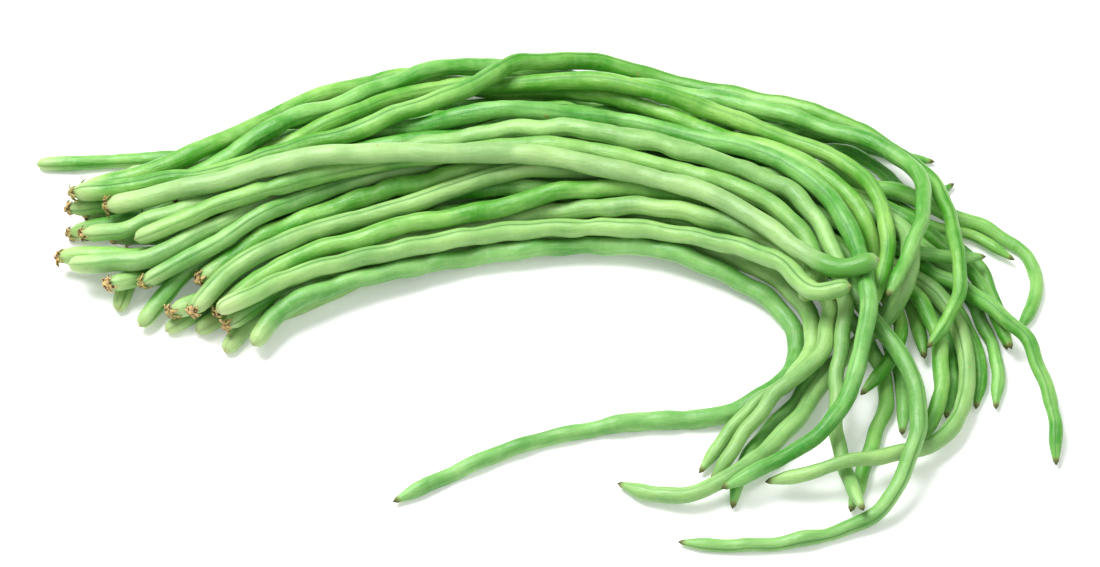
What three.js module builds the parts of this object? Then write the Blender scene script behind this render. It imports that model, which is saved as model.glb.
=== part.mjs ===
// Yardlong bean bunch, lying loose on a surface: an arc of long slim pods, the stem ends
// together at -X and the thin tips turning towards -Y and fanning out at +X.
// Millimetres, +Z up, resting on z = 0. Each mesh is one pod with its own calyx or cut end.
import * as THREE from 'three';

// Driving dimensions of a pod
const POD_DIAMETER = 9;
const SLIM_POD_DIAMETER = 7.4;
const POD_SIDES = 8;
const RING_STEP = 22;
const SWELLING = 0.04;             // share by which the seeds widen and narrow a pod
const BEAK_LENGTH = 3;

// Calyx at a stem end, in shares of the pod's radius
const CALYX_LENGTH = 5;
const CALYX_SHARE = 0.86;
const NOTCH_SHARE = 0.5;           // of the calyx, between two of its points
const NECK_SHARE = 0.46;
const SHOULDER_SHARE = 0.84;

// Rings of a pod's two ends: distance from the end, and share of the full radius
const BLUNT_END = [[0, 0.5], [2, 0.85], [5, 0.98]];
const BEAK_END = [[0, 0.2], [BEAK_LENGTH, 0.52], [10, 0.86]];
const TIP_TAPER_SHARE = 0.3;       // last share of the length that narrows
const TIP_TAPER = 0.72;            // radius left where the beak begins

// How the pods were placed: each route is read off one picture, in its pixels,
// and stands on the line of sight through that pixel
const PICTURE_CENTRE = [550, 283.5];
const MM_PER_PIXEL = 0.48;         // at the aim point
const VIEW_DISTANCE = 1550;
const VIEW_ELEVATION = THREE.MathUtils.degToRad(54);

// Settling: every pod starts above the ones listed before it, then all sink together
const START_RISE = 10;             // height between one pod and the next
const COVERED_RISE = 0.3;          // share of that height where other pods cover it
const POD_GAP = 0.5;               // air left between two pods
const SINK_STEPS = 900;
const FIRST_SINK = 1.2;
const LAST_SINK = 0.06;
const CLEAR_STEPS = 160;           // last steps, with contact only
const LINE_PULL = 0.3;
const COVERED_PULL = 0.03;
const BEND_STIFFNESS = 0.5;
const LENGTH_STIFFNESS = 0.3;
const PAIR_REACH = 12;             // widest gap at which two segments are watched
const PAIR_REFRESH = 10;           // steps between two searches for neighbours
const FLAT_SIDE = Math.cos(Math.PI / POD_SIDES);
const FLOOR_SNAP = 0.3;            // pods this near the surface are set down on it
const ROUTE_STRETCH = 1.08;        // length of a route on the surface against the picture's
const SAME_PLACE = 0.01;           // distance under which two points have no direction
const PARALLEL = 1e-9;             // share under which two segments count as parallel

// Repeatable random numbers
const SEED = 7440;
const DRAW_FACTOR = 48271;
const DRAW_RANGE = 2147483647;

// Greens of the pods: hue, saturation and the range of lightness
const HUE = 0.27;
const HUE_RANGE = 0.02;
const SATURATION = 0.5;
const DARKEST = 0.46;
const LIGHT_RANGE = 0.1;

// Marks a route point that other pods cover
const C = 'covered';

// Back and front edge of the pile under the top pods, from stem side to tip side
const LADDER = [
  [[200, 165], [225, 330]],
  [[300, 130], [300, 300]],
  [[400, 105], [400, 270]],
  [[500, 97], [500, 252]],
  [[600, 103], [600, 243]],
  [[700, 127], [690, 256]],
  [[790, 158], [755, 283]],
  [[865, 190], [790, 315]],
  [[925, 235], [803, 345]],
];

// Covered stretch from one rung of the ladder to another. The three shares say how far
// the pod lies from the back edge to the front edge at its start, middle and end.
function under(shares, first, last) {
  const points = [];
  for (let rung = first; rung <= last; rung += 1) {
    const along = (rung - first) / Math.max(1, last - first);
    const half = along < 0.5 ? 0 : 1;
    const share = THREE.MathUtils.lerp(shares[half], shares[half + 1], 2 * along - half);
    const [back, front] = LADDER[rung];
    points.push([
      THREE.MathUtils.lerp(back[0], front[0], share),
      THREE.MathUtils.lerp(back[1], front[1], share),
      C,
    ]);
  }
  return points;
}

// The pods from the lowest to the highest: a pod's level is its place in this list. A route
// runs from stem to tip. A number after a point, or a pod's own level, is used instead of
// that place where the pod passes under or over some others.
const PODS = [
  { diameter: SLIM_POD_DIAMETER, stem: 'blunt', tip: 'beak', route: [
    [36, 164], [110, 162], [190, 160], [250, 147, C], [300, 121], [400, 91], [500, 79],
    [600, 85], [700, 106], [750, 119], [800, 133], [850, 147], [905, 158], [935, 162]] },
  { diameter: 8.6, level: 20, stem: 'calyx', tip: 'beak', route: [
    [175, 215, C], ...under([0.3, 0.22, 0.12], 0, 5), [765, 141, C], [793, 131, 30],
    [817, 119, 30]] },
  { diameter: 8.8, stem: 'blunt', tip: 'beak', route: [
    [118, 312], [130, 284], [145, 270, C], ...under([0.48, 0.58, 0.2], 0, 8),
    [945, 300], [974, 342], [981, 375], [976, 409]] },
  { diameter: 8.4, stem: 'blunt', tip: 'beak', route: [
    [165, 332], [220, 308, C], [300, 268, C], [400, 240, C], [500, 222, C], [600, 215, C],
    [700, 235, C], [760, 270, C], [790, 310, C], [800, 345, C], [790, 380, C],
    [765, 420, C], [745, 455, C], [731, 488], [733, 509]] },
  { diameter: POD_DIAMETER, stem: 'blunt', tip: 'beak', route: [
    [253, 345], [276, 315], [300, 300], [350, 281], [400, 270], [500, 252], [600, 243],
    [650, 245], [700, 258], [770, 298], [803, 345], [798, 370], [775, 393], [720, 416],
    [650, 421], [590, 429], [530, 443], [450, 474], [393, 502]] },
  { diameter: 8.8, stem: 'blunt', tip: 'beak', route: [
    [225, 352], [252, 318], [300, 292], [330, 281], ...under([0.93, 0.88, 0.9], 2, 8),
    [808, 356], [790, 379], [745, 412], [714, 457], [703, 474]] },
  { diameter: 8.6, stem: 'calyx', tip: 'beak', route: [
    [103, 281], [150, 262, C], ...under([0.45, 0.5, 0.15], 0, 8),
    [940, 270], [978, 312], [996, 355], [996, 409]] },
  { diameter: 8.2, stem: 'calyx', tip: 'beak', route: [
    [120, 240, C], ...under([0.3, 0.35, 0.09], 0, 8), [962, 245], [987, 285], [1002, 330],
    [1005, 350]] },
  { diameter: 7, stem: 'calyx', tip: 'beak', route: [
    [180, 235, C], ...under([0.25, 0.12, 0.03], 0, 7), [905, 210, C], [935, 223],
    [980, 238], [1016, 260]] },
  { diameter: 8.8, stem: 'calyx', tip: 'beak', route: [
    [56, 258], [110, 252], [140, 246, C], ...under([0.36, 0.4, 0.12], 0, 8),
    [945, 262, C], [965, 275], [1000, 325], [1014, 349]] },
  { diameter: 8.8, stem: 'calyx', tip: 'beak', route: [
    [223, 327], [258, 306], [300, 287], [350, 262, C], ...under([0.68, 0.6, 0.62], 2, 8),
    [870, 340, C], [888, 372], [884, 410], [870, 447], [860, 480], [850, 512]] },
  { diameter: 8.8, stem: 'blunt', tip: 'beak', route: [
    [140, 326], [165, 295], [195, 265], [230, 243], ...under([0.5, 0.62, 0.33], 1, 8),
    [935, 305, C], [948, 340], [953, 380], [944, 418]] },
  { diameter: POD_DIAMETER, stem: 'blunt', tip: 'beak', route: [
    [195, 331], [250, 300, C], [300, 275, C], [350, 255, C], [400, 245], [500, 221],
    [580, 208], [660, 207], [700, 213], [740, 226], [780, 246], [810, 263], [826, 285],
    [830, 315], [825, 345], [793, 378], [757, 415], [727, 457], [710, 478]] },
  { diameter: 8.6, stem: 'calyx', tip: 'beak', route: [
    [110, 222, C], ...under([0.4, 0.45, 0.3], 0, 7), [890, 247, C], [918, 258, 25],
    [942, 264, 25], [962, 262, C], [986, 257]] },
  { diameter: 8.8, stem: 'calyx', tip: 'beak', route: [
    [67, 234], [120, 226], [160, 212, C], ...under([0.2, 0.18, 0.03], 0, 7), [905, 205, C],
    [930, 215], [980, 228], [1025, 257], [1037, 289], [1027, 320], [1018, 332, C]] },
  { diameter: 8.8, stem: 'calyx', tip: 'beak', route: [
    [150, 215, C], ...under([0.2, 0.25, 0.08], 0, 8), [960, 275, C], [985, 302], [1016, 330],
    [1041, 373], [1055, 427], [1056, 463]] },
  { diameter: 8.2, stem: 'calyx', tip: 'beak', route: [
    [84, 216], [150, 212, C], ...under([0.1, 0.1, 0], 0, 5), [790, 146, C], [850, 153, C],
    [879, 169], [902, 187], [922, 202, C], [945, 197], [954, 184]] },
  { diameter: 8, stem: 'calyx', tip: 'beak', route: [
    [140, 225, C], ...under([0.3, 0.3, 0.1], 0, 5), [790, 150, C], [835, 146], [857, 153]] },
  { diameter: POD_DIAMETER, stem: 'calyx', tip: 'beak', route: [
    [214, 310, C], [250, 286], [300, 259], [400, 228], [500, 207], [600, 189], [660, 193],
    ...under([0.5, 0.5, 0.3], 6, 8), [910, 290], [919, 325], [924, 358]] },
  { diameter: POD_DIAMETER, stem: 'calyx', tip: 'beak', route: [
    [168, 314], [215, 296], [260, 266], [300, 245], [400, 212], [500, 186],
    ...under([0.57, 0.66, 0.5], 4, 8), [885, 335, C], [893, 360], [903, 395], [902, 435]] },
  { diameter: 9.4, stem: 'calyx', tip: 'beak', route: [
    [197, 281], [232, 257], [275, 230], [350, 200], [440, 176], [500, 166],
    ...under([0.45, 0.5, 0.4], 4, 8), [905, 275], [921, 302], [937, 337], [941, 391],
    [932, 427], [918, 446]] },
  { diameter: POD_DIAMETER, stem: 'calyx', tip: 'beak', route: [
    [80, 190], [150, 176], [205, 158], [250, 133], [300, 105], [350, 88], [400, 77],
    [460, 82], [500, 86, C], [560, 92], [650, 112], [700, 127], [750, 146], [790, 157],
    [820, 174], [850, 196], [868, 218], [878, 250, C], [885, 290, C], [888, 330, C],
    [884, 360], [874, 377], [861, 395]] },
  { diameter: POD_DIAMETER, stem: 'calyx', tip: 'beak', route: [
    [66, 209], [140, 196], [210, 166], [270, 134], [345, 103], [405, 79], [455, 69],
    [510, 72], [575, 77], [650, 88], [700, 98], [800, 122], [890, 150, 27], [915, 170, 27],
    [923, 200, 27], [914, 240, 27], [895, 278, 27], [887, 297, 27]] },
  { diameter: POD_DIAMETER, stem: 'calyx', tip: 'beak', route: [
    [80, 235], [130, 230], [175, 211], [250, 188], [300, 174], [400, 153], [500, 134],
    [550, 130], [600, 136], [700, 158], [740, 170], [780, 187], [810, 208], [825, 238],
    [842, 288], [841, 345], [836, 400], [840, 447], [857, 493], [865, 513]] },
  { diameter: POD_DIAMETER, stem: 'blunt', tip: 'beak', route: [
    [125, 175, 20], [180, 169, 20], [240, 152, 20], [300, 134], [360, 114], [420, 91], [470, 84],
    [540, 77], [600, 84], [700, 110], [780, 137], [835, 158], [876, 193], [887, 229],
    [885, 265], [873, 300], [860, 330, C], [852, 350, C]] },
  { diameter: 9.2, stem: 'calyx', tip: 'beak', route: [
    [128, 197, C], [220, 172, C], [300, 152, C], [400, 133], [500, 114], [550, 115],
    [650, 132], [700, 144], [800, 175], [824, 193], [849, 229], [863, 268], [868, 302],
    [864, 337], [848, 391], [826, 427], [775, 461], [722, 488]] },
  { diameter: POD_DIAMETER, stem: 'blunt', tip: 'blunt', route: [
    [216, 311, C], [250, 296], [300, 273], [400, 249], [500, 232], [600, 227], [700, 238],
    [770, 257], [797, 274], [822, 295], [840, 297], [855, 287]] },
  { diameter: POD_DIAMETER, stem: 'calyx', tip: 'beak', route: [
    [191, 313], [215, 286], [250, 258], [300, 235], [400, 207], [500, 175], [550, 168],
    ...under([0.5, 0.5, 0.3], 5, 8), [930, 290, C], [945, 312], [962, 337], [966, 373],
    [963, 409], [938, 441], [895, 453], [833, 469], [765, 481]] },
  { diameter: 9.4, stem: 'blunt', tip: 'beak', route: [
    [68, 265], [110, 264], [150, 256], [200, 232], [250, 211], [300, 188], [345, 170],
    ...under([0.3, 0.35, 0.14], 2, 6), [845, 207, C], [887, 232, C], [909, 258, C],
    [905, 281], [890, 303], [877, 321, C], [860, 338, C], [843, 354, C], [826, 368],
    [815, 396], [793, 423], [752, 462], [707, 489], [662, 495], [617, 483]] },
  { diameter: POD_DIAMETER, stem: 'blunt', tip: 'blunt', route: [
    [135, 243], [180, 223], [230, 200], [300, 177], [370, 163], [470, 150], [560, 146],
    [650, 161], [700, 174], [740, 188], [770, 205], [790, 222], [805, 240, C], [811, 262, C],
    [808, 282, C], [803, 300, 24]] },
  { diameter: 8.4, stem: 'calyx', tip: 'beak', route: [
    [140, 284], [180, 262], [225, 237], [275, 213], [350, 182], [440, 164],
    ...under([0.37, 0.35, 0.6], 3, 7), [860, 303, C], [888, 337], [910, 373], [918, 409],
    [913, 445], [897, 479], [877, 510], [815, 536], [743, 546], [678, 542]] },
  { diameter: POD_DIAMETER, stem: 'calyx', tip: 'beak', route: [
    [70, 194], [140, 187], [220, 171], [300, 146], [370, 127], [430, 106], [480, 86],
    [520, 71], [570, 65], [610, 69, 20], [650, 77, 14], [700, 89, 14], [800, 112, 14],
    [870, 137, 14], [918, 168, 14], [940, 194, 22], [950, 229], [958, 266], [954, 302],
    [944, 330], [928, 347]] },
  { diameter: 9.6, stem: 'calyx', tip: 'blunt', route: [
    [104, 206], [200, 190], [250, 175], [300, 161], [350, 155], [450, 153], [550, 157],
    [650, 178], [700, 191], [740, 210], [780, 236], [810, 256], [840, 270], [862, 269],
    [880, 261]] },
];

// Repeatable random numbers from 0 to 1
let drawState = SEED;
function draw() {
  drawState = (drawState * DRAW_FACTOR) % DRAW_RANGE;
  return drawState / DRAW_RANGE;
}

// The camera that the routes were read with: it looks along +Y and down
const FORWARD = new THREE.Vector3(0, Math.cos(VIEW_ELEVATION), -Math.sin(VIEW_ELEVATION));
const UPWARD = new THREE.Vector3(0, Math.sin(VIEW_ELEVATION), Math.cos(VIEW_ELEVATION));
const EYE = FORWARD.clone().multiplyScalar(-VIEW_DISTANCE);
const FOCAL = VIEW_DISTANCE / MM_PER_PIXEL;

// Direction of the line of sight through a pixel
function sightLine(u, v) {
  return FORWARD.clone()
    .addScaledVector(new THREE.Vector3(1, 0, 0), (u - PICTURE_CENTRE[0]) / FOCAL)
    .addScaledVector(UPWARD, (PICTURE_CENTRE[1] - v) / FOCAL)
    .normalize();
}

// Point at a height on a line of sight
function atHeight(direction, z) {
  return EYE.clone().addScaledVector(direction, (z - EYE.z) / direction.z);
}

// Share of the full radius at a share of the length, stem to tip
function taper(along, pod) {
  if (pod.tip === 'blunt') {
    return 1;
  }
  const into = Math.max(0, along - 1 + TIP_TAPER_SHARE) / TIP_TAPER_SHARE;
  return THREE.MathUtils.lerp(1, TIP_TAPER, into);
}

// Height at which a route point starts: by its pod's level, or by a level of its own
function startHeight(mark, level) {
  if (mark === C) {
    return level * START_RISE * COVERED_RISE;
  }
  return (mark ?? level) * START_RISE;
}

// Curve through a route, with a value of each point as its third coordinate
function routeCurve(route, values) {
  const points = route.map(([u, v], index) => new THREE.Vector3(u, v, values[index]));
  return new THREE.CatmullRomCurve3(points, false, 'centripetal');
}

// Nodes along one pod, each with its line of sight, start height and radius
function startPod(pod, rank) {
  const seen = pod.route.map((point) => (point[2] === C ? 0 : 1));
  const curve = routeCurve(pod.route, seen);
  const heights = pod.route.map((point) => startHeight(point[2], pod.level ?? rank));
  const rise = routeCurve(pod.route, heights);
  const length = curve.getLength() * MM_PER_PIXEL * ROUTE_STRETCH;
  const count = Math.round(length / RING_STEP);
  return curve.getSpacedPoints(count).map((point, index) => {
    const sight = sightLine(point.x, point.y);
    const visible = THREE.MathUtils.clamp(point.z, 0, 1);
    const height = Math.max(0, rise.getPoint(curve.getUtoTmapping(index / count)).z);
    const radius = (pod.diameter / 2) * taper(index / count, pod);
    return {
      place: atHeight(sight, height),
      flat: atHeight(sight, 0),
      sight,
      pull: THREE.MathUtils.lerp(COVERED_PULL, LINE_PULL, visible),
      radius: radius * (1 + SWELLING * (2 * draw() - 1)),
    };
  });
}

// Rest shape of a pod: its spacing and its bend in plan, both taken at surface level
function restShape(nodes) {
  nodes.forEach((node, index) => {
    const next = nodes[index + 1];
    const last = nodes[index - 1];
    node.spacing = next ? node.flat.distanceTo(next.flat) : 0;
    node.bend = new THREE.Vector3();
    if (next && last) {
      node.bend.copy(node.flat).sub(last.flat.clone().add(next.flat).multiplyScalar(0.5));
    }
  });
}

const scratch = new THREE.Vector3();

// Moves a node towards its own line of sight
function pullToSight(node) {
  scratch.copy(node.place).sub(EYE);
  const depth = scratch.dot(node.sight);
  scratch.copy(EYE).addScaledVector(node.sight, depth).sub(node.place);
  node.place.addScaledVector(scratch, node.pull);
}

// Bends three neighbouring nodes towards their rest shape
function straighten(last, node, next) {
  scratch.copy(last.place).add(next.place).multiplyScalar(0.5);
  scratch.add(node.bend).sub(node.place).multiplyScalar(BEND_STIFFNESS);
  node.place.addScaledVector(scratch, 0.5);
  last.place.addScaledVector(scratch, -0.25);
  next.place.addScaledVector(scratch, -0.25);
}

// Holds two neighbouring nodes at their rest spacing
function holdSpacing(node, next) {
  scratch.copy(next.place).sub(node.place);
  const length = scratch.length();
  scratch.multiplyScalar((LENGTH_STIFFNESS * (length - node.spacing)) / (2 * length));
  node.place.add(scratch);
  next.place.sub(scratch);
}

// Nearest points of two segments, as shares along each
function nearestShares(a, b) {
  const ux = a.to.place.x - a.from.place.x;
  const uy = a.to.place.y - a.from.place.y;
  const uz = a.to.place.z - a.from.place.z;
  const vx = b.to.place.x - b.from.place.x;
  const vy = b.to.place.y - b.from.place.y;
  const vz = b.to.place.z - b.from.place.z;
  const wx = a.from.place.x - b.from.place.x;
  const wy = a.from.place.y - b.from.place.y;
  const wz = a.from.place.z - b.from.place.z;
  const uu = ux * ux + uy * uy + uz * uz;
  const vv = vx * vx + vy * vy + vz * vz;
  const uv = ux * vx + uy * vy + uz * vz;
  const uw = ux * wx + uy * wy + uz * wz;
  const vw = vx * wx + vy * wy + vz * wz;
  const cross = uu * vv - uv * uv;
  const limit = (value) => Math.min(1, Math.max(0, value));
  let s = cross > PARALLEL * uu * vv ? limit((uv * vw - vv * uw) / cross) : 0.5;
  let t = (uv * s + vw) / vv;
  if (t < 0 || t > 1) {
    t = limit(t);
    s = limit((uv * t - uw) / uu);
  }
  return [s, t];
}

// Parts two segments that are too near. Returns how deep they were in each other.
function part(pair) {
  const { a, b } = pair;
  const [s, t] = nearestShares(a, b);
  scratch.set(0, 0, 0)
    .addScaledVector(b.from.place, 1 - t).addScaledVector(b.to.place, t)
    .addScaledVector(a.from.place, s - 1).addScaledVector(a.to.place, -s);
  const distance = scratch.length();
  const depth = pair.clear - distance;
  if (depth <= 0) {
    return 0;
  }
  if (distance < SAME_PLACE) {
    scratch.set(0, 0, 1);
  } else {
    scratch.divideScalar(distance);
  }
  const weight = (1 - s) ** 2 + s ** 2 + (1 - t) ** 2 + t ** 2;
  const push = depth / weight;
  a.from.place.addScaledVector(scratch, -push * (1 - s));
  a.to.place.addScaledVector(scratch, -push * s);
  b.from.place.addScaledVector(scratch, push * (1 - t));
  b.to.place.addScaledVector(scratch, push * t);
  return depth;
}

// Segments of all pods, with the lower pod first
function segmentsOf(pods) {
  return pods.flatMap((nodes, rank) => nodes.slice(1).map((to, index) => ({
    from: nodes[index],
    to,
    rank,
    radius: Math.max(nodes[index].radius, to.radius),
  })));
}

// Pairs of segments of different pods that are near enough to touch soon
function nearPairs(segments) {
  const boxes = segments.map(({ from, to, radius }) => (
    new THREE.Box3().setFromPoints([from.place, to.place]).expandByScalar(radius)));
  const pairs = [];
  segments.forEach((a, first) => {
    const reach = boxes[first].clone().expandByScalar(PAIR_REACH);
    for (let second = first + 1; second < segments.length; second += 1) {
      const b = segments[second];
      if (b.rank !== a.rank && reach.intersectsBox(boxes[second])) {
        pairs.push({ a, b, clear: a.radius + b.radius + POD_GAP });
      }
    }
  });
  return pairs;
}

// Keeps a node above the surface by the height of its flat underside
function keepUp(node) {
  node.place.z = Math.max(node.place.z, node.radius * FLAT_SIDE);
}

// Lets the whole bunch sink and settle on the surface and on itself
function settle(pods) {
  const segments = segmentsOf(pods);
  const nodes = pods.flat();
  let pairs = [];
  for (let step = 0; step < SINK_STEPS + CLEAR_STEPS; step += 1) {
    if (step % PAIR_REFRESH === 0) {
      pairs = nearPairs(segments);
    }
    if (step < SINK_STEPS) {
      const sink = THREE.MathUtils.lerp(FIRST_SINK, LAST_SINK, step / SINK_STEPS);
      nodes.forEach((node) => {
        node.place.z -= sink;
        pullToSight(node);
      });
      pods.forEach((pod) => {
        for (let index = 1; index < pod.length; index += 1) {
          holdSpacing(pod[index - 1], pod[index]);
        }
        for (let index = 1; index < pod.length - 1; index += 1) {
          straighten(pod[index - 1], pod[index], pod[index + 1]);
        }
      });
    }
    pairs.forEach(part);
    nodes.forEach(keepUp);
    pairs.reverse();
    pairs.forEach(part);
    nodes.forEach(keepUp);
  }
  nodes.forEach((node) => {
    const rest = node.radius * FLAT_SIDE;
    if (node.place.z < rest + FLOOR_SNAP) {
      node.place.z = rest;
    }
  });
}

// Rings of one pod from stem to tip: centre and radius, with the short rings of both ends
function ringsOf(nodes, pod) {
  const path = new THREE.CurvePath();
  nodes.slice(1).forEach((node, index) => {
    path.add(new THREE.LineCurve3(nodes[index].place, node.place));
  });
  const length = path.getLength();
  const stem = pod.stem === 'calyx' ? calyxRings(nodes[0].radius) : bluntRings(nodes[0].radius);
  const tipRadius = nodes[nodes.length - 1].radius;
  const tipEnd = pod.tip === 'blunt' ? BLUNT_END : BEAK_END;
  const tip = tipEnd.map(([back, share]) => ({
    centre: path.getPoint(1 - back / length),
    radius: tipRadius * share,
  }));
  const middle = nodes.slice(1, -1).map((node) => ({ centre: node.place, radius: node.radius }));
  return [...stem.map(({ from, radius, star }) => ({
    centre: path.getPoint(from / length),
    radius,
    star,
  })), ...middle, ...tip.reverse()];
}

// Rings of a cut or pinched stem end without its calyx
function bluntRings(radius) {
  return BLUNT_END.map(([from, share]) => ({ from, radius: radius * share }));
}

// Rings of a stem end that kept its calyx: a dry star, its neck, then the pod's shoulder
function calyxRings(radius) {
  return [
    { from: 0, radius: radius * CALYX_SHARE, star: NOTCH_SHARE },
    { from: CALYX_LENGTH / 2, radius: radius * NECK_SHARE },
    { from: CALYX_LENGTH, radius: radius * SHOULDER_SHARE },
    { from: CALYX_LENGTH * 2, radius },
  ];
}

// Vertices of one ring, on a frame that keeps the flat sides level, pressed flat on the surface
function ringVertices(ring, tangent) {
  const side = new THREE.Vector3(0, 0, 1).cross(tangent).normalize();
  const top = tangent.clone().cross(side);
  const vertices = [];
  for (let corner = 0; corner < POD_SIDES; corner += 1) {
    const angle = (2 * Math.PI * (corner + 0.5)) / POD_SIDES;
    const radius = ring.radius * (ring.star && corner % 2 ? ring.star : 1);
    const vertex = ring.centre.clone()
      .addScaledVector(side, radius * Math.cos(angle))
      .addScaledVector(top, radius * Math.sin(angle));
    vertex.z = Math.max(vertex.z, 0);
    vertices.push(vertex);
  }
  return vertices;
}

// Closed skin over the rings, with one point in the middle of each end ring
function podGeometry(rings) {
  const positions = [];
  const faces = [];
  rings.forEach((ring, index) => {
    const before = rings[Math.max(0, index - 1)].centre;
    const after = rings[Math.min(rings.length - 1, index + 1)].centre;
    const tangent = after.clone().sub(before).normalize();
    ringVertices(ring, tangent).forEach((vertex) => positions.push(...vertex.toArray()));
  });
  for (let ring = 0; ring < rings.length - 1; ring += 1) {
    for (let corner = 0; corner < POD_SIDES; corner += 1) {
      const a = ring * POD_SIDES + corner;
      const b = ring * POD_SIDES + ((corner + 1) % POD_SIDES);
      faces.push(a, b, a + POD_SIDES, b, b + POD_SIDES, a + POD_SIDES);
    }
  }
  const stemMiddle = positions.length / 3;
  positions.push(...rings[0].centre.toArray());
  positions.push(...rings[rings.length - 1].centre.toArray());
  const lastRing = (rings.length - 1) * POD_SIDES;
  for (let corner = 0; corner < POD_SIDES; corner += 1) {
    const next = (corner + 1) % POD_SIDES;
    faces.push(stemMiddle, next, corner);
    faces.push(stemMiddle + 1, lastRing + corner, lastRing + next);
  }
  const geometry = new THREE.BufferGeometry();
  geometry.setAttribute('position', new THREE.Float32BufferAttribute(positions, 3));
  geometry.setIndex(faces);
  return geometry;
}

function podMaterial() {
  const hue = HUE + HUE_RANGE * draw();
  const lightness = DARKEST + LIGHT_RANGE * draw();
  const color = new THREE.Color().setHSL(hue, SATURATION, lightness);
  return new THREE.MeshStandardMaterial({ color, roughness: 0.5, metalness: 0 });
}

// The bunch, with its origin under the middle of its box
function beanBunch() {
  const pods = PODS.map(startPod);
  pods.forEach(restShape);
  settle(pods);
  const bunch = new THREE.Group();
  pods.forEach((nodes, index) => {
    const geometry = podGeometry(ringsOf(nodes, PODS[index]));
    const mesh = new THREE.Mesh(geometry, podMaterial());
    mesh.name = `pod_${String(index + 1).padStart(2, '0')}`;
    bunch.add(mesh);
  });
  const box = new THREE.Box3().setFromObject(bunch);
  const middle = box.getCenter(new THREE.Vector3());
  bunch.position.set(-middle.x, -middle.y, -box.min.z);
  return bunch;
}

export default beanBunch();
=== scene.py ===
import math

import bpy
import numpy as np
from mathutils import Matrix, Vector


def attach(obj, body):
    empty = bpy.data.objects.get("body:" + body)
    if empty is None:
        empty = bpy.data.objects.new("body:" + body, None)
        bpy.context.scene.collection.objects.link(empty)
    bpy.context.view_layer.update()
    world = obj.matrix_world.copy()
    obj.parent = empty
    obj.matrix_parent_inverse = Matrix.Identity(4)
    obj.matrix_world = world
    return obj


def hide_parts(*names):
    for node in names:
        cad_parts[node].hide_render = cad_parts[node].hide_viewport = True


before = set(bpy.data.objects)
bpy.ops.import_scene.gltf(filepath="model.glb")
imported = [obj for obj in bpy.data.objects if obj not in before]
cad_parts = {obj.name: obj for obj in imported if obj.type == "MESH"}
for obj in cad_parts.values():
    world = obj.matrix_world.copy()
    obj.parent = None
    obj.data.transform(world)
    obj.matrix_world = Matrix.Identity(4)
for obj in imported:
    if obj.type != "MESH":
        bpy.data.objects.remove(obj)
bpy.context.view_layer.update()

MM = 0.001
SEED = 7440
FULL_TURN = 2 * math.pi

# The photograph's camera: where it aims, in the part's frame, and how it looks there
IMAGE_WIDTH = 1100                               # pixels
METRES_PER_PIXEL = 0.00048                       # at the aim
VIEW_DISTANCE = 1.55                             # metres
VIEW_ELEVATION = math.radians(54)
AIM = np.array([0.00829, 0.01082, 0.0])
SENSOR_WIDTH = 36.0                              # mm
NEAREST_VIEW = 0.05                              # metres, nothing nearer shows

# A CAD pod: rings of corners between its two end points
CAD_SIDES = 8                                    # corners in a ring
CORNER_GRID = 1e-5                               # metres, closer corners count as one
CALYX_FLARE = 1.5                                # a first ring more uneven than this is a calyx
BLUNT_SHARE = 0.4                                # a tip wider than this share of the pod is blunt
KEPT_SPACING = 8 * MM                            # closer rings only shape an end
LAST_SPACING = 1.5 * KEPT_SPACING                # the same, from the last ring

# Slight waves of a pod's centre line
WAVE_HEIGHT = 0.6 * MM
WAVE_SHARE = (0.3, 1.0)                          # share of that height
WAVE_LENGTHS = (23 * MM, 37 * MM, 61 * MM)
WAVE_PHASE = 6.28                                # radians
WAVE_EASE = 30 * MM                              # the waves fade out this near to an end

# Swellings over the seeds, and dents
SEED_PITCH = (11 * MM, 17 * MM)
SEED_SWELL = (0.02, 0.15)                        # share of the radius
SEED_HALF_LENGTH = (0.32, 0.48)                  # share of the longest pitch
DENT_PITCH = 26 * MM
DENT_RANGE = (0.05, 0.97)                        # share of the pod's length
DENT_DEPTH = (0.03, 0.12)                        # share of the radius
DENT_HALF_LENGTH = 3.0 * MM

# Section of a pod, with its two seams
RING_STEP = 2.0 * MM
SEAM_ANGLES = (-0.34, -0.11, 0.0, 0.11, 0.34)    # corners close to a seam, in radians
SIDE_CORNERS = 7                                 # corners between one seam and the other
SECTION_FILL = 0.97                              # share of the radius at the seams
FLATNESS = 0.05                                  # share of the radius that the sides lose
SEAM_SWELL = 0.6                                 # share of a swelling that reaches the seams
GROOVE_DEPTH = 0.24 * MM
GROOVE_WIDTH = 0.11                              # radians
GROOVE_RADIUS = 4 * MM                           # a thinner pod has a shallower groove
SECOND_SEAM = 0.5                                # strength beside the first seam
SEAM_STRENGTH = (0.35, 1.0)                      # share of the full depth and colour
CAMERA_SIDE = math.pi - VIEW_ELEVATION           # turn of a seam that faces the camera
SEAM_SPREAD = 1.5                                # the most that seams turn away, in radians
TWIST_PER_METRE = 2.5                            # the most, in radians
PATTERN_RADIUS = 4.5 * MM                        # of the tube that the skin's patterns lie on

# Ends of a pod, with shares of its radius
BLUNT_LENGTH = 6.5 * MM
BLUNT_FLOOR = 1e-4                               # keeps the last ring of a blunt end open
NECK_SHARE = 0.52
NECK_LENGTH = 1.6 * MM
NECK_ROUNDING = 0.8 * MM
SHOULDER_LENGTH = 5.5 * MM
SHOULDER_POWER = 0.7
TIP_LENGTH = 14 * MM
TIP_POWER = 0.75
BEAK_SHARE = 0.36
BEAK_ROUNDING = 1.2 * MM
ROUNDING_FLOOR = 0.02                            # keeps the last ring of a thin end open

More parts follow.
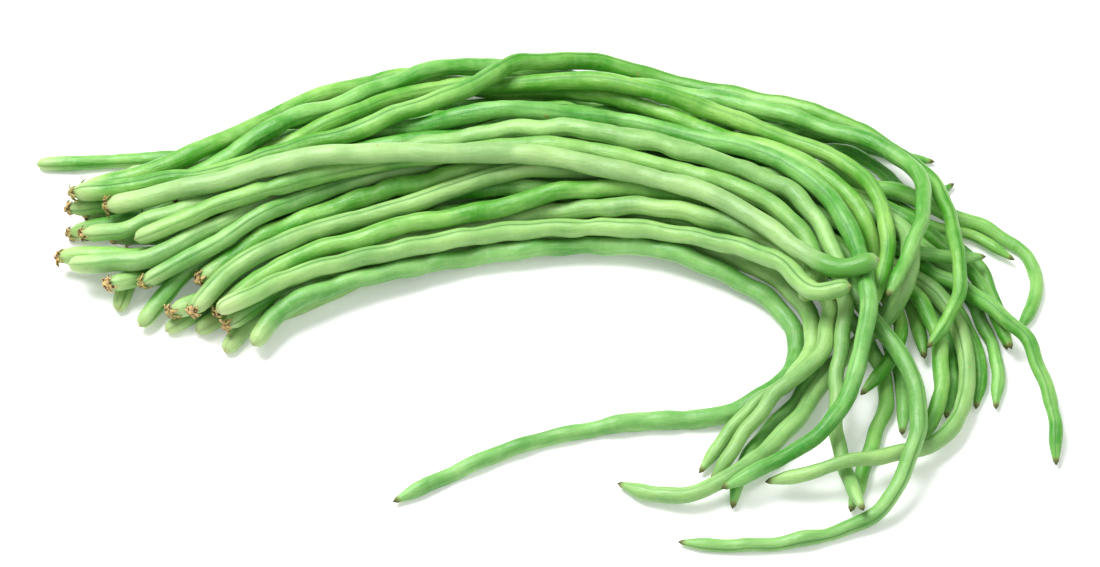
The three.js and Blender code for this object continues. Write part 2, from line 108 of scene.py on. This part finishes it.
# Dry and pale stretches at the ends
BEAK_LENGTH = 2.2 * MM
BEAK_START = 0.6 * BEAK_LENGTH                   # the beak is all dry up to here
STEM_CUT_DRYNESS = 0.55
STEM_CUT_LENGTH = 1.6 * MM
TIP_CUT_DRYNESS = 0.5
TIP_CUT_LENGTH = 1.2 * MM
PALE_LENGTH = 20 * MM

# The pod whose blunt tip ends in painted shade: a darker green stretch painted on its end for its
# shaded side
PAINTED_SHADE_POD = "pod_33"
PAINTED_SHADE_SHARE = 0.85
PAINTED_SHADE_LENGTH = 24 * MM
PAINTED_SHADE_FADE = 9.6 * MM
PAINTED_SHADE_TIP_LENGTH = 5 * MM                        # its very tip stays paler

# Dry calyx on a stem end: distances are inward from the stem end, shares are of the radius
SEPALS = 7
SEPAL_SCATTER = 0.2                              # share of the angle between two sepals
SEPAL_ROWS = 5
SEPAL_ROOT = 0.36
SEPAL_REACH = (0.95, 1.2)
SEPAL_WIDTH = (0.289, 0.425)                     # half of its width at the root
SEPAL_TAPER = 0.55
SEPAL_TIP = 0.25 * MM                            # half of its width at the tip
SEPAL_START = 1.6 * MM
SEPAL_ARCH = 0.9 * MM
SEPAL_CURL = (-1.0 * MM, 4.2 * MM)
SEPAL_JAG = 0.3 * MM
SEPAL_THICKNESS = 0.5 * MM
BLADE_SECTION = ((-1, 0), (1, 0), (1, 1), (-1, 1))   # side and lift of each corner
STALK_SIDES = 12
STALK_ROUGHNESS = 0.12                           # share by which its corners are uneven
# Distance inward and share of the radius of each ring of the stalk
STALK_PROFILE = ((3.0 * MM, 0.45), (2.0 * MM, 0.60), (0.9 * MM, 0.56), (0.2 * MM, 0.36),
                 (-0.6 * MM, 0.30), (-1.0 * MM, 0.20))

# Surface values at each point of a pod, and what each is on the dry calyx
# The green value is painted shade, on one pod's end only
CALYX_VALUES = {"dry": 1.0, "pale": 1.0, "seam": 0.0, "beak": 0.0, "painted_shade": 0.0}

# Pods with a whiter skin than the rest, from 0 to 1
PALE_SKINS = {"pod_33": 0.42, "pod_30": 0.15, "pod_27": 0.25, "pod_29": 0.25, "pod_28": 0.3,
              "pod_24": 0.25, "pod_13": 0.3, "pod_06": 0.25, "pod_31": 0.15, "pod_05": 0.1}

# Colours of the skin, as a display shows them, from 0 to 255
DISPLAY_GAMMA = 2.2
LIGHT_GREENS = ((144, 194, 92), (128, 188, 100))     # a pod lies between the two
DEEP_GREENS = ((70, 148, 22), (52, 138, 28))
STREAK_GREEN = (174, 210, 134)
WRINKLE_GREEN = (176, 210, 138)
MOTTLE_GREEN = (66, 150, 34)
GRAIN_GREEN = (56, 136, 26)
WHITE_GREEN = (184, 204, 154)
SHOULDER_GREEN = (180, 204, 138)
PAINTED_SHADE_GREEN = (74, 146, 40)
SEAM_GREEN = (46, 112, 24)
SPECK_BROWN = (150, 140, 70)
BARK_BROWNS = ((70, 42, 20), (200, 170, 112))
BARK_GREEN = (120, 130, 60)
BEAK_BROWN = (66, 58, 28)
DRY_DULLNESS = 0.35                              # roughness that a dry end adds
SEAM_DULLNESS = 0.3                              # roughness that a seam adds

# Sockets of a mix node that mixes colours
MIX_SHARE = 0
MIX_A = 6
MIX_B = 7
MIX_RESULT = 2

# Ground and light
FLOOR_HALF = 6.0                                 # metres
FLOOR_COLOUR = (0.92, 0.92, 0.92, 1)
FLOOR_GLOW = 0.16                                # evens out the shadows on the white ground
WHITE = (1, 1, 1, 1)
SKY_STRENGTH = 0.5


def corner_points(mesh):
    """Corner places of a CAD mesh, and the index of each of its vertices among them."""
    raw = np.empty(len(mesh.vertices) * 3)
    mesh.vertices.foreach_get("co", raw)
    raw = raw.reshape(-1, 3)
    _, first, index = np.unique(np.round(raw / CORNER_GRID).astype(np.int64), axis=0,
                                return_index=True, return_inverse=True)
    return raw[first], index.ravel()


def neighbours(mesh, index, count):
    """The corners joined to each corner by an edge of the CAD mesh."""
    joined = [set() for _ in range(count)]
    for edge in mesh.edges:
        a, b = (int(index[v]) for v in edge.vertices)
        if a != b:
            joined[a].add(b)
            joined[b].add(a)
    return joined


def rings_of(node):
    """Rings of corners of a CAD pod, from its stem end, which is nearer to -X, to its tip."""
    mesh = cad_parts[node].data
    points, index = corner_points(mesh)
    joined = neighbours(mesh, index, len(points))
    ends = [corner for corner, near in enumerate(joined) if len(near) == CAD_SIDES]
    start = min(ends, key=lambda corner: points[corner][0])
    seen = {start}
    level = [start]
    rings = []
    while level:
        rings.append(points[level])
        level = sorted({near for corner in level for near in joined[corner]} - seen)
        seen.update(level)
    return rings[1:-1]


def hermite(knots, values, at):
    """Smooth curve through values at rising knots."""
    slopes = np.gradient(values, knots, axis=0)
    cell = np.clip(np.searchsorted(knots, at, side="right") - 1, 0, len(knots) - 2)
    width = knots[cell + 1] - knots[cell]
    t = (at - knots[cell]) / width
    shape = (-1,) + (1,) * (values.ndim - 1)
    t = t.reshape(shape)
    width = width.reshape(shape)
    return ((2 * t**3 - 3 * t**2 + 1) * values[cell]
            + (t**3 - 2 * t**2 + t) * width * slopes[cell]
            + (-2 * t**3 + 3 * t**2) * values[cell + 1]
            + (t**3 - t**2) * width * slopes[cell + 1])


def smooth(t):
    """Eased step from 0 to 1."""
    t = np.clip(t, 0.0, 1.0)
    return t * t * (3 - 2 * t)


def dome(distance):
    """Share of the radius on a rounded blunt end, at a distance from it."""
    inward = 1 - np.clip(distance / BLUNT_LENGTH, 0, 1)
    return np.sqrt(np.clip(1 - inward ** 2, BLUNT_FLOOR, 1))


def rounding(distance, length):
    """Share of the radius on the rounded edge of a thin end."""
    return np.sqrt(np.clip(distance / length, ROUNDING_FLOOR, 1))


class Pod:
    """Centre line, frame and full radius of one pod, at even steps from stem to tip."""

    def __init__(self, node, rng):
        self.node = node
        rings = rings_of(node)
        centres = np.array([ring.mean(0) for ring in rings])
        reach = np.array([np.linalg.norm(ring - ring.mean(0), axis=1) for ring in rings])
        self.calyx = reach[0].max() > CALYX_FLARE * reach[0].min()
        self.blunt_tip = reach[-1].mean() > BLUNT_SHARE * reach[len(reach) // 2].mean()
        kept = self.spaced(centres)
        knots = np.r_[0, np.cumsum(np.linalg.norm(np.diff(centres[kept], axis=0), axis=1))]
        self.length = knots[-1]
        self.s = np.linspace(0, self.length, int(self.length / RING_STEP) + 1)
        self.back = self.length - self.s
        self.line = hermite(knots, centres[kept], self.s)
        # The rings of the two ends are narrowed, and end_share shapes the ends instead
        radii = reach.mean(1)[kept]
        radii[0] = radii[1]
        radii[-1] = radii[-2]
        self.radius = hermite(knots, radii, self.s)
        self.set_frame()
        self.wave(rng)

    @staticmethod
    def spaced(centres):
        """The rings that shape the centre line, without those that only shape an end."""
        kept = [0]
        for ring in range(1, len(centres) - 1):
            clear_before = np.linalg.norm(centres[ring] - centres[kept[-1]]) > KEPT_SPACING
            clear_after = np.linalg.norm(centres[ring] - centres[-1]) > LAST_SPACING
            if clear_before and clear_after:
                kept.append(ring)
        return kept + [len(centres) - 1]

    def set_frame(self):
        """Side and top directions that don't turn about the centre line."""
        self.along = np.gradient(self.line, self.s, axis=0)
        self.along /= np.linalg.norm(self.along, axis=1)[:, None]
        side = np.cross((0, 0, 1), self.along[0])
        sides = []
        for along in self.along:
            side = side - along * side.dot(along)
            side /= np.linalg.norm(side)
            sides.append(side)
        self.side = np.array(sides)
        self.top = np.cross(self.along, self.side)

    def wave(self, rng):
        """Slight waves of the centre line, as a pod has from growing unevenly."""
        ease = smooth(self.s / WAVE_EASE) * smooth(self.back / WAVE_EASE)
        for length in WAVE_LENGTHS:
            turn = rng.uniform(0, FULL_TURN)
            height = WAVE_HEIGHT * rng.uniform(*WAVE_SHARE) * ease
            swing = height * np.sin(FULL_TURN * self.s / length + rng.uniform(0, WAVE_PHASE))
            across = math.cos(turn) * self.side + math.sin(turn) * self.top
            self.line = self.line + swing[:, None] * across

    def end_share(self):
        """Share of the full radius that both ends leave."""
        if self.calyx:
            rise = smooth((self.s - NECK_LENGTH) / SHOULDER_LENGTH) ** SHOULDER_POWER
            share = NECK_SHARE + (1 - NECK_SHARE) * rise
            share = share * rounding(self.s, NECK_ROUNDING)
        else:
            share = dome(self.s)
        if self.blunt_tip:
            return share * dome(self.back)
        tip = BEAK_SHARE + (1 - BEAK_SHARE) * smooth(self.back / TIP_LENGTH) ** TIP_POWER
        return share * tip * rounding(self.back, BEAK_ROUNDING)

    def swelling(self, rng):
        """Share by which the seeds swell the pod, and its random dents, along its length."""
        swell = np.zeros_like(self.s)
        place = rng.uniform(*SEED_PITCH)
        while place < self.length:
            half = rng.uniform(*SEED_HALF_LENGTH) * SEED_PITCH[1]
            height = rng.uniform(*SEED_SWELL)
            swell += height * np.exp(-((self.s - place) / half) ** 2)
            place += rng.uniform(*SEED_PITCH)
        for _ in range(int(self.length / DENT_PITCH)):
            where = rng.uniform(*DENT_RANGE) * self.length
            depth = rng.uniform(*DENT_DEPTH)
            swell -= depth * np.exp(-((self.s - where) / DENT_HALF_LENGTH) ** 2)
        return swell


def corner_angles():
    """Corner angles round a pod: close together at its two seams."""
    between = np.linspace(SEAM_ANGLES[-1], math.pi + SEAM_ANGLES[0], SIDE_CORNERS + 2)[1:-1]
    half = np.r_[SEAM_ANGLES, between]
    return np.r_[half, half + math.pi]


def seam_share(angles):
    """How near each corner is to a seam, from 0 to 1, with the second seam weaker."""
    share = np.zeros_like(angles)
    for centre, strength in ((0.0, 1.0), (math.pi, SECOND_SEAM)):
        off = np.angle(np.exp(1j * (angles - centre)))
        share += strength * np.exp(-(off / GROOVE_WIDTH) ** 2)
    return share


def skin_radius(pod, angles, seam, swell):
    """Distance of each corner from the centre line: flat sides, swellings, dents and seams."""
    ends = pod.end_share()
    full = pod.radius * ends
    flat = SECTION_FILL - FLATNESS * np.sin(angles) ** 2
    lift = SEAM_SWELL + (1 - SEAM_SWELL) * np.sin(angles) ** 2
    radius = full[:, None] * (flat[None, :] + swell[:, None] * lift[None, :])
    depth = GROOVE_DEPTH * np.clip(ends, 0, 1) ** 2 * np.clip(full / GROOVE_RADIUS, 0, 1)
    return radius - depth[:, None] * seam[None, :]


def skin_points(pod, angles, radius, rng):
    """Places of a pod's corners, with its seams turned and slightly twisted."""
    turn = CAMERA_SIDE + SEAM_SPREAD * rng.uniform(-1, 1)
    twist = turn + TWIST_PER_METRE * rng.uniform(-1, 1) * (pod.s - 0.5 * pod.length)
    around = angles[None, :] + twist[:, None]
    return (pod.line[:, None, :]
            + (radius * np.cos(around))[:, :, None] * pod.side[:, None, :]
            + (radius * np.sin(around))[:, :, None] * pod.top[:, None, :])


def skin_flow(pod, angles):
    """Place of each corner on a straight tube, which the skin's patterns follow."""
    across = PATTERN_RADIUS * np.cos(angles)
    upward = PATTERN_RADIUS * np.sin(angles)
    return np.stack(np.broadcast_arrays(pod.s[:, None], across[None, :], upward[None, :]), axis=-1)


def lengthwise_values(pod):
    """How dry, pale and beaked a pod is at each step of its length, and where painted shade darkens
    it.
    """
    beak = np.zeros_like(pod.s)
    cut = np.zeros_like(pod.s)
    painted_shade = np.zeros_like(pod.s)
    if not pod.calyx:
        cut = STEM_CUT_DRYNESS * (1 - smooth(pod.s / STEM_CUT_LENGTH))
    if pod.blunt_tip:
        cut = cut + TIP_CUT_DRYNESS * (1 - smooth(pod.back / TIP_CUT_LENGTH))
    else:
        beak = 1 - smooth((pod.back - BEAK_START) / BEAK_LENGTH)
    # Painted shade: a darker green along one pod's end, for its shaded side, left off its very tip
    if pod.node == PAINTED_SHADE_POD:
        stretch = 1 - smooth((pod.back - PAINTED_SHADE_LENGTH) / PAINTED_SHADE_FADE)
        painted_shade = PAINTED_SHADE_SHARE * stretch * smooth(pod.back / PAINTED_SHADE_TIP_LENGTH)
    pale = 1 - smooth(pod.s / PALE_LENGTH)
    return {"dry": np.maximum(beak, cut), "pale": pale, "beak": beak, "painted_shade": painted_shade}


def strip_faces(rows, columns):
    """Quads between rows of corners, each row joined into a loop."""
    faces = []
    for row in range(rows - 1):
        for column in range(columns):
            a = row * columns + column
            b = row * columns + (column + 1) % columns
            faces.append((a, b, b + columns, a + columns))
    return faces


def skin_faces(rows, columns):
    """Quads along a pod, and a fan of triangles to the middle of each end."""
    faces = strip_faces(rows, columns)
    start_middle = rows * columns
    end_middle = start_middle + 1
    last = (rows - 1) * columns
    for column in range(columns):
        following = (column + 1) % columns
        faces.append((start_middle, following, column))
        faces.append((end_middle, last + column, last + following))
    return faces


def pod_skin(pod, rng):
    """Corners, faces and surface values of a pod's own skin."""
    angles = corner_angles()
    rows = len(pod.s)
    columns = len(angles)
    seam = seam_share(angles) * rng.uniform(*SEAM_STRENGTH)
    radius = skin_radius(pod, angles, seam, pod.swelling(rng))
    corners = skin_points(pod, angles, radius, rng).reshape(-1, 3)
    flow = skin_flow(pod, angles)
    values = {name: np.r_[np.repeat(value, columns), value[0], value[-1]]
              for name, value in lengthwise_values(pod).items()}
    values["seam"] = np.r_[np.tile(seam, rows), 0.0, 0.0]
    values["flow"] = np.vstack([flow.reshape(-1, 3), flow[0].mean(0), flow[-1].mean(0)])
    return np.vstack([corners, pod.line[0], pod.line[-1]]), skin_faces(rows, columns), values


def at_stem(pod, along, outward, angle):
    """Point at a distance inward from the stem end and outward from the centre line."""
    radial = math.cos(angle) * pod.side[0] + math.sin(angle) * pod.top[0]
    return pod.line[0] + along * pod.along[0] + outward * radial


def closed_tube(rows, columns):
    """Faces of a tube of rows of corners, with both of its ends closed."""
    faces = [face[::-1] for face in strip_faces(rows, columns)]
    last = (rows - 1) * columns
    faces.append(tuple(range(columns)))
    faces.append(tuple(last + corner for corner in reversed(range(columns))))
    return faces


def sepal(pod, rng, angle):
    """One dry, jagged sepal: a thin closed blade that spreads from the neck."""
    radius = pod.radius[0]
    root = radius * SEPAL_ROOT
    curl = rng.uniform(*SEPAL_CURL)
    reach = radius * rng.uniform(*SEPAL_REACH)
    width = radius * rng.uniform(*SEPAL_WIDTH)
    corners = []
    for row in range(SEPAL_ROWS):
        t = row / (SEPAL_ROWS - 1)
        outward = root + (reach - root) * t
        along = SEPAL_START + curl * t * t - SEPAL_ARCH * math.sin(math.pi * t)
        half = width * (1 - t) ** SEPAL_TAPER + SEPAL_TIP
        jag = rng.uniform(-SEPAL_JAG, SEPAL_JAG)
        for side, lift in BLADE_SECTION:
            inward = along - lift * SEPAL_THICKNESS + jag * side
            corners.append(at_stem(pod, inward, outward, angle + side * half / outward))
    return corners, closed_tube(SEPAL_ROWS, len(BLADE_SECTION))


def stalk(pod, rng):
    """The dry receptacle and the short broken stalk inside the sepals."""
    corners = []
    for along, share in STALK_PROFILE:
        for corner in range(STALK_SIDES):
            rough = 1 + rng.uniform(-STALK_ROUGHNESS, STALK_ROUGHNESS)
            angle = FULL_TURN * corner / STALK_SIDES
            corners.append(at_stem(pod, along, pod.radius[0] * share * rough, angle))
    return corners, closed_tube(len(STALK_PROFILE), STALK_SIDES)


def add_calyx(pod, rng, points, faces, values):
    """Adds the stalk and the sepals to a pod's skin."""
    pieces = [stalk(pod, rng)]
    start = rng.uniform(0, FULL_TURN)
    for number in range(SEPALS):
        place = number + rng.uniform(-SEPAL_SCATTER, SEPAL_SCATTER)
        pieces.append(sepal(pod, rng, start + FULL_TURN * place / SEPALS))
    for corners, shape in pieces:
        first = len(points)
        points = np.vstack([points, corners])
        faces = faces + [tuple(first + corner for corner in face) for face in shape]
        for name, value in CALYX_VALUES.items():
            values[name] = np.r_[values[name], np.full(len(corners), value)]
        values["flow"] = np.vstack([values["flow"], corners])
    return points, faces, values


def set_values(mesh, values, whole):
    """Stores the surface values that the skin's material reads."""
    for name in CALYX_VALUES:
        layer = mesh.attributes.new(name, "FLOAT", "POINT")
        layer.data.foreach_set("value", values[name].astype(np.float32))
    layer = mesh.attributes.new("flow", "FLOAT_VECTOR", "POINT")
    layer.data.foreach_set("vector", values["flow"].astype(np.float32).ravel())
    for name, value in whole.items():
        layer = mesh.attributes.new(name, "FLOAT", "POINT")
        layer.data.foreach_set("value", np.full(len(mesh.vertices), value, dtype=np.float32))


def make_pod(node, number, material):
    """A finished pod in the place of its CAD node."""
    rng = np.random.default_rng(SEED + number)
    pod = Pod(node, rng)
    points, faces, values = pod_skin(pod, rng)
    if pod.calyx:
        points, faces, values = add_calyx(pod, rng, points, faces, values)
    # Nothing reaches below the ground
    points[:, 2] = np.maximum(points[:, 2], 0.0)
    mesh = bpy.data.meshes.new(node + "_skin")
    mesh.from_pydata(points.tolist(), [], faces)
    mesh.validate()
    mesh.shade_smooth()
    # Each pod has its own stretch of the patterns
    values["flow"][:, 0] += number
    set_values(mesh, values, {"tone": rng.uniform(0, 1), "fade": PALE_SKINS.get(node, 0.0)})
    mesh.materials.append(material)
    piece = bpy.data.objects.new(node + "_skin", mesh)
    bpy.context.scene.collection.objects.link(piece)
    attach(piece, "root")
    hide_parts(node)


class Nodes:
    """Short ways to build a node material."""

    def __init__(self, name):
        self.material = bpy.data.materials.new(name)
        self.material.use_nodes = True
        self.tree = self.material.node_tree
        self.shader = self.tree.nodes["Principled BSDF"]

    def join(self, value, socket):
        """Links a socket to another, or sets it to a plain value."""
        if isinstance(value, bpy.types.NodeSocket):
            self.tree.links.new(value, socket)
        else:
            socket.default_value = value

    def attribute(self, name, output="Fac"):
        """A surface value stored in the mesh."""
        node = self.tree.nodes.new("ShaderNodeAttribute")
        node.attribute_name = name
        return node.outputs[output]

    def math(self, operation, a, b):
        """A sum or product of two values."""
        node = self.tree.nodes.new("ShaderNodeMath")
        node.operation = operation
        self.join(a, node.inputs[0])
        self.join(b, node.inputs[1])
        return node.outputs[0]

    def noise(self, vector, scale, across=1.0, detail=3.0, roughness=0.55):
        """Noise that is finer or coarser across the pod than along it."""
        if across != 1.0:
            node = self.tree.nodes.new("ShaderNodeVectorMath")
            node.operation = "MULTIPLY"
            self.join(vector, node.inputs[0])
            node.inputs[1].default_value = (1.0, across, across)
            vector = node.outputs[0]
        node = self.tree.nodes.new("ShaderNodeTexNoise")
        self.join(vector, node.inputs["Vector"])
        node.inputs["Scale"].default_value = scale
        node.inputs["Detail"].default_value = detail
        node.inputs["Roughness"].default_value = roughness
        return node.outputs["Fac"]

    def span(self, value, low, high, to_low=0.0, to_high=1.0):
        """A value eased from one range into another."""
        node = self.tree.nodes.new("ShaderNodeMapRange")
        node.interpolation_type = "SMOOTHSTEP"
        self.join(value, node.inputs["Value"])
        node.inputs["From Min"].default_value = low
        node.inputs["From Max"].default_value = high
        node.inputs["To Min"].default_value = to_low
        node.inputs["To Max"].default_value = to_high
        return node.outputs["Result"]

    def mix(self, share, a, b):
        """Colour a, turned into colour b by a share from 0 to 1."""
        node = self.tree.nodes.new("ShaderNodeMix")
        node.data_type = "RGBA"
        self.join(share, node.inputs[MIX_SHARE])
        self.join(a, node.inputs[MIX_A])
        self.join(b, node.inputs[MIX_B])
        return node.outputs[MIX_RESULT]

    def tint(self, base, mask, most, display):
        """The base colour, tinted by at most a share where the mask is full."""
        return self.mix(self.math("MULTIPLY", mask, most), base, colour(display))

    def bump(self, height, strength, distance, normal=None):
        """Relief on top of the surface's own, or another bump's, normal."""
        node = self.tree.nodes.new("ShaderNodeBump")
        node.inputs["Strength"].default_value = strength
        node.inputs["Distance"].default_value = distance
        self.join(height, node.inputs["Height"])
        if normal is not None:
            self.join(normal, node.inputs["Normal"])
        return node.outputs["Normal"]


def colour(display):
    """Linear colour from display values of 0 to 255."""
    return tuple((value / 255) ** DISPLAY_GAMMA for value in display) + (1.0,)


def fresh_colour(n, flow, broad, streak, cross, fine):
    """Colour of fresh skin: two greens, streaks, wrinkles, mottles, seams, pale shoulders and
    painted shade on one pod's end.
    """
    tone = n.attribute("tone")
    light = n.mix(tone, colour(LIGHT_GREENS[0]), colour(LIGHT_GREENS[1]))
    deep = n.mix(tone, colour(DEEP_GREENS[0]), colour(DEEP_GREENS[1]))
    base = n.mix(n.span(broad, low=0.3, high=0.7), deep, light)
    base = n.tint(base, n.span(streak, low=0.45, high=0.75), most=0.25, display=STREAK_GREEN)
    base = n.tint(base, n.span(cross, low=0.45, high=0.7), most=0.12, display=WRINKLE_GREEN)
    mottle = n.noise(flow, scale=170, across=1.6, detail=2.0)
    base = n.tint(base, n.span(mottle, low=0.5, high=0.75), most=0.22, display=MOTTLE_GREEN)
    base = n.tint(base, n.span(fine, low=0.5, high=0.8), most=0.15, display=GRAIN_GREEN)
    base = n.mix(n.attribute("fade"), base, colour(WHITE_GREEN))
    pale = n.span(broad, low=0.1, high=0.8, to_low=0.5, to_high=0.95)
    base = n.tint(base, n.attribute("pale"), most=pale, display=SHOULDER_GREEN)
    # Painted shade: darker green on the end of one pod, for its shaded side
    base = n.mix(n.attribute("painted_shade"), base, colour(PAINTED_SHADE_GREEN))
    seam = n.span(streak, low=0.2, high=0.6, to_low=0.45, to_high=0.95)
    base = n.tint(base, n.attribute("seam"), most=seam, display=SEAM_GREEN)
    speck = n.noise(flow, scale=210, detail=2.0, roughness=0.5)
    return n.tint(base, n.span(speck, low=0.74, high=0.79), most=0.6, display=SPECK_BROWN)


def dry_colour(n, flow, broad):
    """Colour of a dry calyx, cut or beak: mottled browns with a little old olive colour."""
    patch = n.noise(flow, scale=700, roughness=0.6)
    bark = n.mix(n.span(patch, low=0.42, high=0.54), colour(BARK_BROWNS[0]), colour(BARK_BROWNS[1]))
    bark = n.mix(n.span(broad, low=0.45, high=0.6, to_high=0.5), bark, colour(BARK_GREEN))
    return n.mix(n.attribute("beak"), bark, colour(BEAK_BROWN))


def skin_roughness(n, streak, dry):
    """Soft gloss with duller streaks, dulled on the seams and where the skin is dry."""
    rough = n.span(streak, low=0.3, high=0.7, to_low=0.36, to_high=0.5)
    rough = n.math("ADD", rough, n.math("MULTIPLY", dry, DRY_DULLNESS))
    return n.math("ADD", rough, n.math("MULTIPLY", n.attribute("seam"), SEAM_DULLNESS))


def skin_relief(n, flow, cross, fine):
    """Relief too fine for the mesh: wrinkles along the pod and across it, and grain."""
    wrinkle = n.noise(flow, scale=260, across=3.0)
    normal = n.bump(wrinkle, strength=0.5, distance=0.7 * MM)
    normal = n.bump(cross, strength=0.2, distance=0.35 * MM, normal=normal)
    return n.bump(fine, strength=0.25, distance=0.12 * MM, normal=normal)


def skin_material():
    """Fresh pod skin: light green with fine cross wrinkles, pale shoulders and dry ends."""
    n = Nodes("pod_skin")
    flow = n.attribute("flow", "Vector")
    broad = n.noise(flow, scale=34, across=2.0, detail=2.0)
    streak = n.noise(flow, scale=70, across=8.0, roughness=0.6)
    cross = n.noise(flow, scale=420, across=0.3, roughness=0.6)
    fine = n.noise(flow, scale=900, roughness=0.6)
    dry = n.attribute("dry")
    fresh = fresh_colour(n, flow, broad, streak, cross, fine)
    n.join(n.mix(dry, fresh, dry_colour(n, flow, broad)), n.shader.inputs["Base Color"])
    n.join(skin_roughness(n, streak, dry), n.shader.inputs["Roughness"])
    n.join(skin_relief(n, flow, cross, fine), n.shader.inputs["Normal"])
    n.shader.inputs["Subsurface Weight"].default_value = 0.3
    n.shader.inputs["Subsurface Radius"].default_value = (0.5, 1.0, 0.25)
    n.shader.inputs["Subsurface Scale"].default_value = 2.2 * MM
    n.shader.inputs["Specular IOR Level"].default_value = 0.5
    return n.material


def floor_material():
    """Matt white ground with a faint glow."""
    n = Nodes("floor")
    n.shader.inputs["Base Color"].default_value = FLOOR_COLOUR
    n.shader.inputs["Roughness"].default_value = 0.9
    n.shader.inputs["Specular IOR Level"].default_value = 0.1
    n.shader.inputs["Emission Color"].default_value = WHITE
    n.shader.inputs["Emission Strength"].default_value = FLOOR_GLOW
    return n.material


def make_floor():
    """A wide plain ground under the bunch."""
    half = FLOOR_HALF
    mesh = bpy.data.meshes.new("floor")
    mesh.from_pydata([(-half, -half, 0), (half, -half, 0), (half, half, 0), (-half, half, 0)],
                     [], [(0, 1, 2, 3)])
    mesh.materials.append(floor_material())
    floor = bpy.data.objects.new("floor", mesh)
    bpy.context.scene.collection.objects.link(floor)


def make_camera():
    """The photograph's view, from the front and above."""
    focal = VIEW_DISTANCE / METRES_PER_PIXEL
    data = bpy.data.cameras.new("camera")
    data.sensor_width = SENSOR_WIDTH
    data.lens = SENSOR_WIDTH * focal / IMAGE_WIDTH
    data.clip_start = NEAREST_VIEW
    camera = bpy.data.objects.new("camera", data)
    back = np.array([0.0, -math.cos(VIEW_ELEVATION), math.sin(VIEW_ELEVATION)])
    camera.location = AIM + VIEW_DISTANCE * back
    camera.rotation_euler = (math.pi / 2 - VIEW_ELEVATION, 0, 0)
    bpy.context.scene.collection.objects.link(camera)
    bpy.context.scene.camera = camera


def make_light(name, place, size, power):
    """A soft square light that faces the middle of the bunch."""
    data = bpy.data.lights.new(name, "AREA")
    data.shape = "SQUARE"
    data.size = size
    data.energy = power
    light = bpy.data.objects.new(name, data)
    light.location = place
    light.rotation_euler = Vector(place).to_track_quat("Z", "Y").to_euler()
    bpy.context.scene.collection.objects.link(light)


def make_surroundings():
    """Even white light from all round, a key light behind on the left and a weak fill."""
    world = bpy.data.worlds.new("studio")
    world.use_nodes = True
    background = world.node_tree.nodes["Background"]
    background.inputs["Color"].default_value = WHITE
    background.inputs["Strength"].default_value = SKY_STRENGTH
    bpy.context.scene.world = world
    bpy.context.scene.view_settings.view_transform = "Standard"
    make_light("key", place=(-0.55, 0.45, 1.5), size=0.9, power=38)
    make_light("fill", place=(0.9, -0.6, 1.2), size=1.2, power=5)


make_camera()
make_surroundings()
make_floor()
skin = skin_material()
for number, node in enumerate(sorted(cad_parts)):
    make_pod(node, number, skin)
